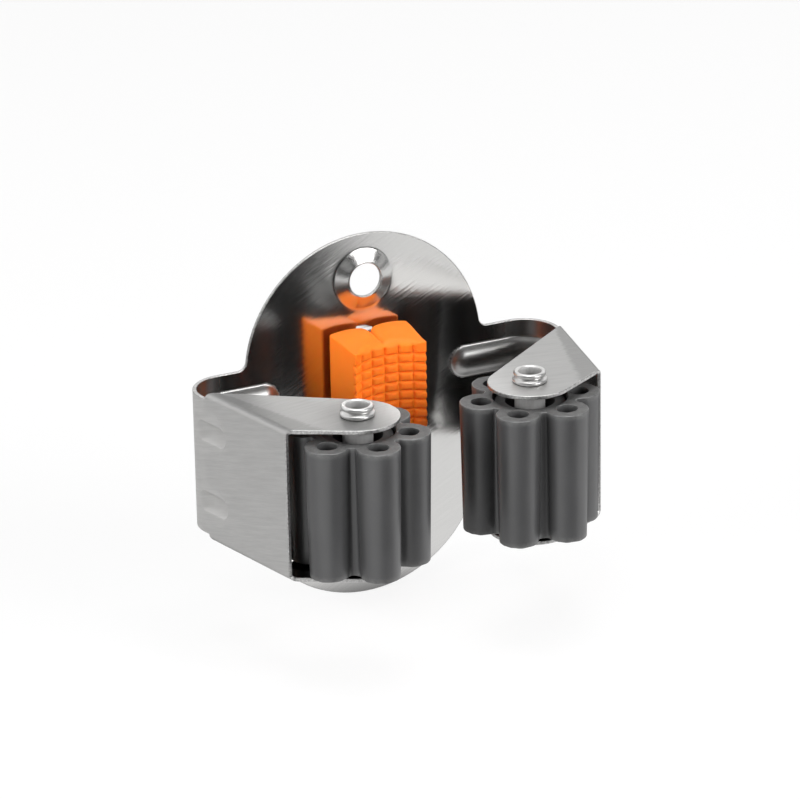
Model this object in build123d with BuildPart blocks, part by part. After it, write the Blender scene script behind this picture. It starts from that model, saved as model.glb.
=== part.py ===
"""Wall holder for broom and tool handles: sheet steel bracket, two star rollers on tubular axles, grip pad.

Frame: X to the right, Y into the wall, Z up, millimetres. The origin lies in the back face of the plate,
midway between the two screw holes.
"""

import os
from math import asin, cos, degrees, radians, sin, tan

from build123d import *

# Sheet steel bracket
SHEET = 1.0
LOBE_R = 32.6
LOBE_Z = 15.6
LOBE_FILLET = 2.4
HALF_WIDTH = 50.0
WING_Z = 17.9
BEND_R = 9.5
TOE_IN = 11.5
ARM_LENGTH = 35.0

# Ears, bent inward from the top and bottom of each arm
EAR_Z = 19.6
EAR_BEND_R = 1.6
EAR_START = 2.0
EAR_TIP_R = 10.4
EAR_LEG = 0.6
EAR_REACH = 45.0

# Raised screw holes
SCREW_Z = 36.5
SCREW_HOLE_R = 4.3
BOSS_BASE_R = 8.2
BOSS_RIM_R = 4.9
BOSS_HEIGHT = 1.6
BOSS_ROOT_FILLET = 1.5
BOSS_RIM_FILLET = 0.6

# Corner ribs, pressed inward across each bend
RIB_Z = 9.3
RIB_HEIGHT = 1.8
RIB_SET_BACK = 2.32
RIB_PLATE_X = 28.2
RIB_LOW_PLATE_X = 31.6
RIB_ARM_RUN = 6.0

# Dents behind the ribs, in the outer face of each arm
DENT_START = 1.0
DENT_END = 7.6
DENT_R = 2.9
DENT_SET_BACK = 1.2

# Axles
PIN_X = 23.4
PIN_Y = 45.0
PIN_R = 3.75
PIN_BORE_R = 2.65
PIN_FIT = 0.05
BEAD_R = 4.3
BEAD_H = 1.2
BEAD_FILLET = 0.45
HEAD_H = 2.9
RIM_R = 3.38
RIM_TUBE_R = 0.65

# Rollers and their bushes
ROLLER_BOTTOM = -17.8
ROLLER_H = 33.6
ROLLER_DRAFT = 1.0
LOBES = 6
LOBE_PITCH_R = 12.3
LOBE_TUBE_R = 5.4
LOBE_BORE_R = 2.6
LOBE_ROOT_FILLET = 0.6
HUB_R = 11.5
HUB_BORE_R = 9.25
ROLLER_PHASE = {"left": 27.5, "right": 48.6}
BUSH_R = 9.2
BUSH_NECK_R = 8.6
BUSH_NECK_H = 3.0
BUSH_RELIEF_R = 6.15
BUSH_LAND_H = 10.0
BUSH_RECESS = 1.2
BUSH_PROUD = 0.2

# Thrust washers on the lower ears
WASHER_R = 6.4
WASHER_H = 0.5
WASHER_FIT = 0.08

# Grip pad
PAD_TOP = 24.0
PAD_BACK = (10.8, -2.9)
PAD_SHOULDER = (2.6, -2.9)
PAD_SHOULDER_MID = (0.8, -3.5)
PAD_CLEFT_Y = -4.8
PAD_FRONT = (9.9, -16.5)
PAD_SEAT_Y = -12.9
PAD_EDGE_R = 2.0
CREASE_W = 0.9
CREASE_Y = (-14.0, -4.0)
KNOB_COLUMNS = 6
KNOB_ROWS = 18
KNOB_PITCH = 2.45
GROOVE_W = 0.45
GROOVE_D = 0.5

# Pad carrier, behind and inside the pad
CARRIER_TOP = 23.3
CARRIER_HALF = 2.3
CARRIER_NECK_HALF = 1.2
CARRIER_NECK_Y = -2.9
TONGUE_TOP = 18.0
TONGUE_HALF = 3.2
TONGUE_Y = -5.9
TONGUE_D = 1.4
TONGUE_GAP = 0.3
PEG_R = 2.2
PEG_Z = 14.0
PEG_HEAD_R = 2.8
PEG_HEAD_H = 0.45
PEG_GAP = 0.3
PEG_SHY = 0.1

# Derived geometry of one bend and arm, on the right-hand side
TOE = radians(TOE_IN)
ALONG = Vector(-sin(TOE), -cos(TOE))
OUTWARD = Vector(cos(TOE), -sin(TOE))
BEND_X = HALF_WIDTH - BEND_R
BEND_CENTRE = Vector(BEND_X, -BEND_R)
BEND_SWEEP = 90 + TOE_IN
ARM_START = BEND_CENTRE + OUTWARD * BEND_R
ARM_END = ARM_START + ALONG * ARM_LENGTH
EAR_BACK = ARM_START + ALONG * EAR_START
PIN = Vector(PIN_X, -PIN_Y)
PIN_HALF = EAR_Z + HEAD_H - RIM_TUBE_R
SIDES = {"left": -1, "right": 1}
BEND_AXIS = Axis((BEND_CENTRE.X, BEND_CENTRE.Y, 0), (0, 0, -1))


def on_bend(radius):
    """Point half-way round the bend, at a distance from its centre."""
    middle = radians(90 - BEND_SWEEP / 2)
    return BEND_CENTRE + Vector(cos(middle), sin(middle)) * radius


def across_arm(point):
    """Plane square to the arm through a point of its outer face: local X outward, local Y up."""
    return Plane(point, x_dir=OUTWARD, z_dir=ALONG)


def across_plate(x):
    """Plane square to the plate at a distance from its middle: local X towards the wall, local Y up."""
    return Plane((x, 0, 0), x_dir=(0, 1, 0), z_dir=(1, 0, 0))


def both_sides(part):
    """The part and its mirror images above, below, left and right."""
    add(part)
    add(mirror(part, about=Plane.XY))
    add(mirror(part, about=Plane.YZ))
    add(mirror(mirror(part, about=Plane.XY), about=Plane.YZ))


# Corner ribs: rounded ridges along the plate, the bend and the arm, with domed ends; each is hollow behind
# the plate, dented behind the arm, and full in the bend
RIB_R = RIB_SET_BACK + SHEET + RIB_HEIGHT
HOLLOW_R = RIB_R - SHEET
RIB_BEND_PLANE = across_plate(BEND_X)
RIB_ARM_PLANE = across_arm(ARM_START)
RIB_END_PLANE = across_arm(ARM_START + ALONG * RIB_ARM_RUN)
DENT_START_PLANE = across_arm(ARM_START + ALONG * DENT_START)
DENT_END_PLANE = across_arm(ARM_START + ALONG * DENT_END)


def ridge(plane, upper_half=False):
    """Section of the ridge from the middle of the sheet inward, whole or above its centre line."""
    with BuildSketch(plane) as section:
        with Locations((RIB_SET_BACK, RIB_Z)):
            Circle(RIB_R)
        with Locations((RIB_R - SHEET / 2, RIB_Z)):
            Rectangle(2 * RIB_R, 2 * RIB_R, mode=Mode.SUBTRACT)
        if upper_half:
            with Locations((0, RIB_Z - RIB_R)):
                Rectangle(4 * RIB_R, 2 * RIB_R, mode=Mode.SUBTRACT)
    return section.sketch


def groove(start, end, set_back, radius):
    """Round-ended groove from one section plane to another, centred outside the sheet."""
    with BuildPart() as cut:
        with BuildSketch(start):
            with Locations((set_back, RIB_Z)):
                Circle(radius)
        extrude(amount=(end.origin - start.origin).length)
        for plane in (start, end):
            with Locations(plane.from_local_coords((set_back, RIB_Z, 0))):
                Sphere(radius)
    return cut.part


def corner_rib(plate_x):
    """The upper right-hand rib, starting at a distance from the plate's middle."""
    start = across_plate(plate_x)
    with BuildPart() as rib:
        extrude(ridge(start), amount=BEND_X - plate_x)
        revolve(ridge(RIB_BEND_PLANE), axis=BEND_AXIS, revolution_arc=BEND_SWEEP)
        extrude(ridge(RIB_ARM_PLANE), amount=RIB_ARM_RUN)
        for end in (start, RIB_END_PLANE):
            dome_axis = Axis(end.from_local_coords((0, RIB_Z, 0)), end.x_dir)
            revolve(ridge(end, upper_half=True), axis=dome_axis)
    return rib.part


def rib_hollows(plate_x):
    """The groove behind that rib's run on the plate and the dent behind its run on the arm."""
    return [
        groove(across_plate(plate_x), RIB_BEND_PLANE, RIB_SET_BACK, HOLLOW_R),
        groove(DENT_START_PLANE, DENT_END_PLANE, DENT_SET_BACK, DENT_R),
    ]


RIBS = [corner_rib(RIB_PLATE_X), mirror(corner_rib(RIB_LOW_PLATE_X), about=Plane.XY)]
RIB_HOLLOWS = rib_hollows(RIB_PLATE_X)
RIB_HOLLOWS += [mirror(hollow, about=Plane.XY) for hollow in rib_hollows(RIB_LOW_PLATE_X)]

# Ear: bent over from the arm, tapering to a round tip about the axle
with BuildPart() as ear:
    with BuildSketch(across_arm(EAR_BACK)) as ear_section:
        with BuildLine():
            bend_z = EAR_Z - EAR_BEND_R
            Line((-SHEET, bend_z), (-SHEET, bend_z - EAR_LEG))
            Line((-SHEET, bend_z - EAR_LEG), (0, bend_z - EAR_LEG))
            Line((0, bend_z - EAR_LEG), (0, bend_z))
            RadiusArc((0, bend_z), (-EAR_BEND_R, EAR_Z), -EAR_BEND_R)
            Line((-EAR_BEND_R, EAR_Z), (-EAR_REACH, EAR_Z))
            Line((-EAR_REACH, EAR_Z), (-EAR_REACH, EAR_Z - SHEET))
            Line((-EAR_REACH, EAR_Z - SHEET), (-EAR_BEND_R, EAR_Z - SHEET))
            RadiusArc((-EAR_BEND_R, EAR_Z - SHEET), (-SHEET, bend_z), EAR_BEND_R - SHEET)
        make_face()
    extrude(amount=ARM_LENGTH + EAR_REACH)
    with BuildSketch() as ear_plan:
        with BuildLine():
            Line(EAR_BACK, ARM_END)
            CenterArc(PIN, EAR_TIP_R, 0, 360)
        make_hull()
    extrude(amount=2 * EAR_Z, mode=Mode.INTERSECT)
    with Locations((PIN.X, PIN.Y, EAR_Z)):
        Cylinder(PIN_R + PIN_FIT, 4 * SHEET, mode=Mode.SUBTRACT)

# Raised collar round a screw hole, and the hollow behind it, about a vertical axis at the origin
with BuildPart() as boss:
    with BuildSketch(Plane.XZ) as boss_section:
        with BuildLine():
            Polyline(
                (0, SHEET / 2),
                (BOSS_BASE_R + BOSS_ROOT_FILLET, SHEET / 2),
                (BOSS_BASE_R + BOSS_ROOT_FILLET, SHEET),
                (BOSS_BASE_R, SHEET),
                (BOSS_RIM_R, SHEET + BOSS_HEIGHT),
                (0, SHEET + BOSS_HEIGHT),
                close=True,
            )
        make_face()
        root = boss_section.vertices().sort_by_distance((BOSS_BASE_R, 0, SHEET))[0]
        fillet(root, BOSS_ROOT_FILLET)
        rim = boss_section.vertices().sort_by_distance((BOSS_RIM_R, 0, SHEET + BOSS_HEIGHT))[0]
        fillet(rim, BOSS_RIM_FILLET)
    revolve(axis=Axis.Z)

with BuildPart() as boss_hollow:
    with BuildSketch(Plane.XZ):
        with BuildLine():
            Polyline(
                (0, -SHEET),
                (BOSS_BASE_R - SHEET / 2, -SHEET),
                (BOSS_BASE_R - SHEET / 2, 0),
                (BOSS_RIM_R - SHEET / 2, BOSS_HEIGHT),
                (SCREW_HOLE_R, BOSS_HEIGHT),
                (SCREW_HOLE_R, 2 * SHEET + BOSS_HEIGHT),
                (0, 2 * SHEET + BOSS_HEIGHT),
                close=True,
            )
        make_face()
    revolve(axis=Axis.Z)

SCREW_PLACES = [Location((0, 0, z), (90, 0, 0)) for z in (SCREW_Z, -SCREW_Z)]
PEG_PLACES = [Location((0, 0, z), (90, 0, 0)) for z in (PEG_Z, -PEG_Z)]

# Bracket: plate, bends, arms and ears in one sheet
with BuildPart() as bracket:
    with BuildSketch(Plane.XZ) as plate_outline:
        with Locations((0, LOBE_Z), (0, -LOBE_Z)):
            Circle(LOBE_R)
        Rectangle(2 * BEND_X, 2 * WING_Z)
        shoulders = plate_outline.vertices().filter_by_position(Axis.X, 1 - BEND_X, BEND_X - 1)
        fillet(shoulders, LOBE_FILLET)
    extrude(amount=SHEET)
    with BuildSketch() as arm_plan:
        with BuildLine():
            ThreePointArc((BEND_X, 0), on_bend(BEND_R), ARM_START)
            Line(ARM_START, ARM_END)
            Line(ARM_END, ARM_END - OUTWARD * SHEET)
            Line(ARM_END - OUTWARD * SHEET, ARM_START - OUTWARD * SHEET)
            ThreePointArc(ARM_START - OUTWARD * SHEET, on_bend(BEND_R - SHEET), (BEND_X, -SHEET))
            Line((BEND_X, -SHEET), (BEND_X, 0))
        make_face()
        mirror(about=Plane.YZ)
    extrude(amount=WING_Z, both=True)
    both_sides(ear.part)
    for rib in RIBS:
        add(rib)
        add(mirror(rib, about=Plane.YZ))
    for place in SCREW_PLACES:
        add(boss.part.moved(place))
    for place in SCREW_PLACES:
        add(boss_hollow.part.moved(place), mode=Mode.SUBTRACT)
    for hollow in RIB_HOLLOWS:
        add(hollow, mode=Mode.SUBTRACT)
        add(mirror(hollow, about=Plane.YZ), mode=Mode.SUBTRACT)
    with Locations(*PEG_PLACES):
        Cylinder(PEG_R + PEG_GAP, 4 * SHEET, mode=Mode.SUBTRACT)
        Cylinder(
            PEG_HEAD_R + PEG_GAP,
            PEG_HEAD_H + PEG_SHY,
            align=(Align.CENTER, Align.CENTER, Align.MIN),
            mode=Mode.SUBTRACT,
        )

# Grip pad: a flat back with a cleft between rounded shoulders, a hollow knobbly seat at the front
SEAT_DEPTH = PAD_SEAT_Y - PAD_FRONT[1]
SEAT_R = (PAD_FRONT[0] ** 2 + SEAT_DEPTH**2) / (2 * SEAT_DEPTH)
SEAT_CENTRE_Y = PAD_SEAT_Y - SEAT_R
SEAT_HALF_ANGLE = degrees(asin(PAD_FRONT[0] / SEAT_R))
COLUMN_ANGLE = 2 * SEAT_HALF_ANGLE / KNOB_COLUMNS

with BuildPart() as grip_pad:
    with BuildSketch(Plane.XY.offset(-PAD_TOP)):
        with BuildLine():
            ThreePointArc((0, PAD_CLEFT_Y), PAD_SHOULDER_MID, PAD_SHOULDER)
            Line(PAD_SHOULDER, PAD_BACK)
            Line(PAD_BACK, PAD_FRONT)
            ThreePointArc(PAD_FRONT, (0, PAD_SEAT_Y), (-PAD_FRONT[0], PAD_FRONT[1]))
            Line((-PAD_FRONT[0], PAD_FRONT[1]), (-PAD_BACK[0], PAD_BACK[1]))
            Line((-PAD_BACK[0], PAD_BACK[1]), (-PAD_SHOULDER[0], PAD_SHOULDER[1]))
            ThreePointArc(
                (-PAD_SHOULDER[0], PAD_SHOULDER[1]),
                (-PAD_SHOULDER_MID[0], PAD_SHOULDER_MID[1]),
                (0, PAD_CLEFT_Y),
            )
        make_face()
    extrude(amount=2 * PAD_TOP)
    seat_ends = grip_pad.edges().filter_by(GeomType.CIRCLE)
    seat_ends = seat_ends.filter_by(lambda edge: abs(edge.radius - SEAT_R) < GROOVE_D)
    fillet(seat_ends, PAD_EDGE_R)
    for end in (PAD_TOP, -PAD_TOP):
        with Locations((0, sum(CREASE_Y) / 2, end)):
            Box(CREASE_W, CREASE_Y[1] - CREASE_Y[0], CREASE_W, rotation=(0, 45, 0), mode=Mode.SUBTRACT)
    for row in range(KNOB_ROWS - 1):
        with Locations((0, SEAT_CENTRE_Y, (row - (KNOB_ROWS - 2) / 2) * KNOB_PITCH)):
            Cylinder(SEAT_R + GROOVE_D, GROOVE_W, mode=Mode.SUBTRACT)
    for column in range(KNOB_COLUMNS - 1):
        angle = (column - (KNOB_COLUMNS - 2) / 2) * COLUMN_ANGLE
        with Locations(Location((0, SEAT_CENTRE_Y, 0), (0, 0, angle))):
            with Locations((0, SEAT_R, 0)):
                Box(GROOVE_W, 2 * GROOVE_D, 3 * PAD_TOP, mode=Mode.SUBTRACT)
    slot_h = TONGUE_TOP + TONGUE_GAP + PAD_TOP
    with Locations((0, TONGUE_Y + TONGUE_GAP, TONGUE_TOP + TONGUE_GAP)):
        Box(
            2 * (TONGUE_HALF + TONGUE_GAP),
            TONGUE_D + 2 * TONGUE_GAP,
            slot_h,
            align=(Align.CENTER, Align.MAX, Align.MAX),
            mode=Mode.SUBTRACT,
        )
        Box(
            2 * (CARRIER_NECK_HALF + TONGUE_GAP),
            -TONGUE_Y,
            slot_h,
            align=(Align.CENTER, Align.MIN, Align.MAX),
            mode=Mode.SUBTRACT,
        )

# Pad carrier: a bar in the pad's cleft, staked to the plate, with a tongue that the pad slides over
with BuildPart() as pad_carrier:
    with BuildSketch(Plane.XY.offset(-CARRIER_TOP)):
        with BuildLine():
            Polyline(
                (-CARRIER_HALF, -SHEET),
                (CARRIER_HALF, -SHEET),
                (CARRIER_NECK_HALF, CARRIER_NECK_Y),
                (-CARRIER_NECK_HALF, CARRIER_NECK_Y),
                close=True,
            )
        make_face()
    extrude(amount=2 * CARRIER_TOP)
    with Locations((0, CARRIER_NECK_Y, -CARRIER_TOP)):
        Box(
            2 * CARRIER_NECK_HALF,
            CARRIER_NECK_Y - TONGUE_Y,
            CARRIER_TOP + TONGUE_TOP,
            align=(Align.CENTER, Align.MAX, Align.MIN),
        )
    with Locations((0, TONGUE_Y, -CARRIER_TOP)):
        Box(
            2 * TONGUE_HALF,
            TONGUE_D,
            CARRIER_TOP + TONGUE_TOP,
            align=(Align.CENTER, Align.MAX, Align.MIN),
        )
    with Locations(*PEG_PLACES):
        with Locations((0, 0, PEG_SHY)):
            Cylinder(PEG_R, 2 * SHEET, align=(Align.CENTER, Align.CENTER, Align.MIN))
            Cylinder(PEG_HEAD_R, PEG_HEAD_H, align=(Align.CENTER, Align.CENTER, Align.MIN))

os.makedirs("parts", exist_ok=True)
bracket.part.label = "bracket"
export_step(bracket.part, "parts/bracket.step")
grip_pad.part.label = "grip_pad"
export_step(grip_pad.part, "parts/grip_pad.step")
pad_carrier.part.label = "pad_carrier"
export_step(pad_carrier.part, "parts/pad_carrier.step")

ROLLER_TOP = ROLLER_BOTTOM + ROLLER_H
DRAFT_INSET = ROLLER_H * tan(radians(ROLLER_DRAFT))
BUSH_BOTTOM = ROLLER_BOTTOM - BUSH_PROUD
BUSH_TOP = ROLLER_TOP - BUSH_RECESS
BUSH_MIDDLE = (BUSH_BOTTOM + BUSH_TOP) / 2
RELIEF_H = (BUSH_TOP - BUSH_BOTTOM - BUSH_LAND_H) / 2
UPWARD = (Align.CENTER, Align.CENTER, Align.MIN)
DOWNWARD = (Align.CENTER, Align.CENTER, Align.MAX)

for side, sign in SIDES.items():
    axis_x = sign * PIN_X

    # Axle: a tube with an upset bead and a rolled rim at each end
    with BuildPart() as axle:
        with Locations((axis_x, -PIN_Y, 0)):
            Cylinder(PIN_R, 2 * PIN_HALF)
            with Locations((0, 0, EAR_Z), Location((0, 0, -EAR_Z), (180, 0, 0))):
                Cylinder(BEAD_R, BEAD_H, align=UPWARD)
            bead_edges = axle.edges().filter_by(GeomType.CIRCLE)
            bead_edges = bead_edges.filter_by(lambda edge: abs(edge.radius - BEAD_R) < PIN_FIT)
            fillet(bead_edges.group_by(Axis.Z)[0] + bead_edges.group_by(Axis.Z)[-1], BEAD_FILLET)
            with Locations((0, 0, PIN_HALF), (0, 0, -PIN_HALF)):
                Torus(RIM_R, RIM_TUBE_R)
            Cylinder(PIN_BORE_R, 4 * PIN_HALF, mode=Mode.SUBTRACT)
    axle.part.label = f"{side}_axle"
    export_step(axle.part, f"parts/{side}_axle.step")

    # Thrust washer on the lower ear
    with BuildPart() as washer:
        with Locations((axis_x, -PIN_Y, SHEET - EAR_Z)):
            Cylinder(WASHER_R, WASHER_H, align=UPWARD)
            Cylinder(PIN_R + WASHER_FIT, 4 * WASHER_H, mode=Mode.SUBTRACT)
    washer.part.label = f"{side}_thrust_washer"
    export_step(washer.part, f"parts/{side}_thrust_washer.step")

    # Bush: runs on the axle over a short land at mid height, relieved at both ends
    with BuildPart() as bush:
        with Locations((axis_x, -PIN_Y, BUSH_BOTTOM)):
            Cylinder(BUSH_R, BUSH_TOP - BUSH_BOTTOM - BUSH_NECK_H, align=UPWARD)
            Cylinder(BUSH_NECK_R, BUSH_TOP - BUSH_BOTTOM, align=UPWARD)
            Cylinder(BUSH_RELIEF_R, RELIEF_H, align=UPWARD, mode=Mode.SUBTRACT)
        with Locations((axis_x, -PIN_Y, BUSH_TOP)):
            Cylinder(BUSH_RELIEF_R, RELIEF_H, align=DOWNWARD, mode=Mode.SUBTRACT)
        with Locations((axis_x, -PIN_Y, BUSH_MIDDLE)):
            Cylinder(PIN_R + PIN_FIT, 2 * BUSH_LAND_H, mode=Mode.SUBTRACT)
    bush.part.label = f"{side}_bush"
    export_step(bush.part, f"parts/{side}_bush.step")

    # Roller: hollow lobes round a hub, moulded with draft, so that it is widest at the top
    with BuildPart() as roller:
        for level, inset in ((ROLLER_BOTTOM, DRAFT_INSET), (ROLLER_TOP, 0)):
            with BuildSketch(Plane((axis_x, -PIN_Y, level))) as star:
                Circle(HUB_R - inset)
                with PolarLocations(LOBE_PITCH_R, LOBES, ROLLER_PHASE[side]):
                    Circle(LOBE_TUBE_R - inset)
                fillet(star.vertices(), LOBE_ROOT_FILLET + inset)
        loft(ruled=True)
        with Locations((axis_x, -PIN_Y, ROLLER_TOP)):
            Cylinder(HUB_BORE_R, 3 * ROLLER_H, mode=Mode.SUBTRACT)
            with PolarLocations(LOBE_PITCH_R, LOBES, ROLLER_PHASE[side]):
                Cylinder(LOBE_BORE_R, 3 * ROLLER_H, mode=Mode.SUBTRACT)
    roller.part.label = f"{side}_roller"
    export_step(roller.part, f"parts/{side}_roller.step")
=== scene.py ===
"""Looks of the wall tool holder: pressed sheet, rubber rollers, knobbly pad, finishes and studio."""

import math

import bpy
import numpy as np
from mathutils import Matrix, Vector
from mathutils.geometry import delaunay_2d_cdt

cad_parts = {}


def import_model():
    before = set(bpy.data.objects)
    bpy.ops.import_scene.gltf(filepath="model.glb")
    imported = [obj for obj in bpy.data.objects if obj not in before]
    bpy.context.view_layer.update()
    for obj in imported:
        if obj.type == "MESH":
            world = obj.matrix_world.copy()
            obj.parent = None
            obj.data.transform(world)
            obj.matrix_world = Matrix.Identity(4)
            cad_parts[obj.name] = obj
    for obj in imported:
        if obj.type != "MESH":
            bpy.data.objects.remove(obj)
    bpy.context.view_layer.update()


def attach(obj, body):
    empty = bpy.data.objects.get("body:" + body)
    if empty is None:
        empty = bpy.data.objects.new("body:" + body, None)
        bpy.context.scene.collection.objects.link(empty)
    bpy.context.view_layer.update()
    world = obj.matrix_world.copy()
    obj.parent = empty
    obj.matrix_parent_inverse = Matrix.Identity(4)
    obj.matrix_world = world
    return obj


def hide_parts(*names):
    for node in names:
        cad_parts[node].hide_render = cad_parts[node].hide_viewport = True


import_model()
MM = 0.001
SAME_POINT = 1e-6
MITRE_LIMIT = 0.6

# Bracket sheet, in millimetres
SHEET = 1.0
LOBE_R = 32.6
LOBE_Z = 15.6
LOBE_FILLET = 2.4
HALF_WIDTH = 50.0
WING_Z = 17.9
BEND_R = 9.5
TOE_IN = math.radians(11.5)
ARM_LENGTH = 35.0
EAR_Z = 19.6
EAR_BEND_R = 1.6
EAR_START = 2.0
EAR_TIP_R = 10.4
SHEET_EDGE_R = 0.22
SCREW_Z = 36.5
SCREW_HOLE_R = 4.3
BOSS_BASE_R = 8.0
BOSS_RIM_R = 4.5
BOSS_HEIGHT = 1.6
BOSS_SOFT = 0.35
RIB_Z = 9.3
RIB_HEIGHT = 1.8
RIB_SET_BACK = 2.32
RIB_PLATE_X = 28.2
RIB_LOW_PLATE_X = 31.6
RIB_ARM_RUN = 6.0
RIB_SOFT = 0.35
DENT_START = 1.0
DENT_END = 7.6
DENT_R = 2.9
DENT_SET_BACK = 1.2
DENT_SOFT = 0.12
DENT_FADE = (-3.0, 3.0)
PIN = np.array([23.4, -45.0])
PIN_HOLE_R = 3.8
PEG_Z = 14.0
PEG_HOLE_R = 2.5
PEG_RECESS_R = 3.1
PEG_RECESS_D = 0.55
PEG_RECESS_WALL = 0.06
NORMAL_STEP = 0.02

# Finish of the sheet: how dull it is where it was worked, and over how many millimetres that fades
BOSS_DULL = 0.4
BEND_DULL = 0.8
RIB_DULL = 1.0
GROUND_START = 0.8
GROUND_SPREAD = 0.16
# Painted shade on the ears: where it fades towards the tip, and how much of it the right ear gets
EAR_FADE = (12.0, 34.0)
RIGHT_EAR_PAINTED_SHADE = 0.55
PLATE_GRAIN = math.radians(26)
ARM_GRAIN = math.radians(-15)
RIB_FADE = (3.5, 5.5)
BEND_FADE = 3.0
BOSS_FADE = 1.5
GROUND_FADE = (0.3, 1.3)

# Mesh of the sheet: how far each zone reaches and how close its points are, along and across
SHEET_SPACING = 1.0
SHEET_CLEAR = 0.25
EDGE_STEPS = 4
SCREW_SIDES = 72
PEG_SIDES = 40
PEG_RECESS_SIDES = 48
PIN_SIDES = 48
PLAIN_REACH = (80.0, 48.0)
PLAIN_MESH = 4.0
RIB_MESH_START = 23.0
RIB_MESH_HALF = 5.2
RIB_MESH = 0.45
DENT_MESH_RUN = (-2.0, 12.0)
DENT_MESH_HALF = 4.2
DENT_MESH = 0.28
BEND_MESH = (0.6, 2.0)
EAR_BEND_MESH = (2.0, 0.25)
EAR_MESH_END = 60.0
EAR_MESH = 1.5
COLLAR_MESH_RUN = (0.4, 2.5)
COLLAR_MESH = 0.3

# Axles
PIN_R = 3.75
PIN_BORE_R = 2.65
BEAD_RADIUS = 0.58
BEAD_CENTRE = (3.74, 20.19)
RIM_RADIUS = 0.65
RIM_CENTRE = (3.38, 21.85)
RIM_END = math.radians(-72)
BEAD_SPAN = math.radians(81)
BEAD_FOOT = 0.1
HEAD_MARGIN = 0.2
HEAD_BORE_R = 2.925
AXLE_SIDES = 72

# Rollers
ROLLER_BOTTOM = -17.8
ROLLER_H = 33.6
ROLLER_DRAFT = math.radians(1.0)
LOBES = 6
LOBE_PITCH_R = 12.3
LOBE_TUBE_R = 5.4
LOBE_BORE_R = 2.6
LOBE_ROOT_FILLET = 0.6
HUB_R = 11.5
HUB_BORE_R = 9.25
ROLLER_EDGE_R = 0.3
BORE_EDGE_R = 0.15
ROLLER_WEAR = (1.6, 0.4)
CUT_WAVE = 0.14
CUT_WAVES = ((1.9, 0.8, 0.0), (-1.1, 2.7, 1.3))
CUT_FLAT = 0.1
ROLLER_RIM_STEPS = 4
HUB_SIDES = 96
LOBE_SIDES = 44
ROLLER_PHASE = {"left": math.radians(27.5), "right": math.radians(48.6)}
SIDES = {"left": -1, "right": 1}

# Grip pad
PAD_TOP = 24.0
PAD_BACK = (10.8, -2.9)
PAD_SHOULDER = (2.6, -2.9)
PAD_SHOULDER_MID = (0.8, -3.5)
PAD_CLEFT_Y = -4.8
PAD_FRONT = (9.9, -16.5)
PAD_SEAT_Y = -12.9
PAD_FRONT_EDGE_R = 2.0
PAD_EDGE_R = 0.4
PAD_CORNER_THIN = 0.75
PAD_CORNER_RUN = (0.3, 2.0)
PAD_FRONT_RUN = (1.2, 4.5)
PAD_FRONT_OFF = (0.05, 0.6)
PAD_RIM_STEPS = 8
PAD_SPACING = 0.27
PAD_EASING = 10
PAD_MESH = 0.6
PAD_MESH_X = (-10.2, 10.3)
PAD_MESH_Y = (-16.0, -1.0)
PAD_CLEAR = 0.3
KNOB_COLUMNS = 6
KNOB_ROWS = 18
KNOB_PITCH = 2.45
KNOB_DEPTH = 0.7
KNOB_FILL = 0.9
KNOB_POWER = 3
KNOB_STEPS = 14
KNOB_OFF = (0.5, 1.0)
KNOB_TOP_FADE = (0.4, 0.6)
CREASE_DEPTH = 0.6
CREASE_REACH = 0.8
CREASE_END = 14.5
CREASE_RUN_OUT = 5.0
CREASE_FROM_TOP = 2.0
CREASE_HALF = 2.0
CREASE_MESH = (0.25, 0.5)
CREASE_MESH_Y = (-14.4, -4.0)
CREASE_CLEAR = 0.2
CROWN_START = 19.6
CROWN_RISE = 0.6
CROWN_DROOP = 1.2
SLOT_TOP = 18.3
SLOT_NECK_HALF = 1.5
SLOT_HALF = 3.5
SLOT_FRONT_Y = -7.6
SLOT_BACK_Y = -5.6
SLOT_LAP = 0.2
SHARP_ANGLE = math.radians(50)

# Geometry of one bend, arm and ear, worked out from the sizes above
ALONG = np.array([-math.sin(TOE_IN), -math.cos(TOE_IN)])
INWARD = np.array([-math.cos(TOE_IN), math.sin(TOE_IN)])
SWEEP = math.pi / 2 + TOE_IN
BEND_X = HALF_WIDTH - BEND_R
ARM_START = np.array([BEND_X, -BEND_R]) - INWARD * BEND_R
ARM_S = BEND_X + BEND_R * SWEEP
TIP_S = ARM_S + ARM_LENGTH
EAR_T = EAR_Z - EAR_BEND_R
EAR_FLAT_T = EAR_T + EAR_BEND_R * math.pi / 2
RIB_R = RIB_SET_BACK + SHEET + RIB_HEIGHT
HOLLOW_R = RIB_R - SHEET


# Small geometry helpers

def arc(centre, radius, start, end, count):
    """Points on a circle from one angle to another, both ends included."""
    angles = np.linspace(start, end, count)
    return np.asarray(centre) + radius * np.stack([np.cos(angles), np.sin(angles)], axis=1)


def hole(centre, radius, count):
    """A clockwise circle, so that the solid lies on its left."""
    return arc(centre, radius, 0, -2 * math.pi, count + 1)[:-1]


def ring_of(centre, radius, count):
    """An anticlockwise circle."""
    return arc(centre, radius, 0, 2 * math.pi, count + 1)[:-1]


def joined(*runs):
    """One closed loop from several runs of points, without doubled points."""
    points = np.concatenate([np.atleast_2d(run) for run in runs])
    step = np.linalg.norm(points - np.roll(points, 1, axis=0), axis=1)
    return points[step > SAME_POINT]


def densified(loop, spacing):
    """The closed loop with extra points wherever a side is longer than the spacing."""
    points = []
    for start, end in zip(loop, np.roll(loop, -1, axis=0)):
        count = max(1, math.ceil(np.linalg.norm(end - start) / spacing))
        points.extend(start + (end - start) * k / count for k in range(count))
    return np.array(points)


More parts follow.
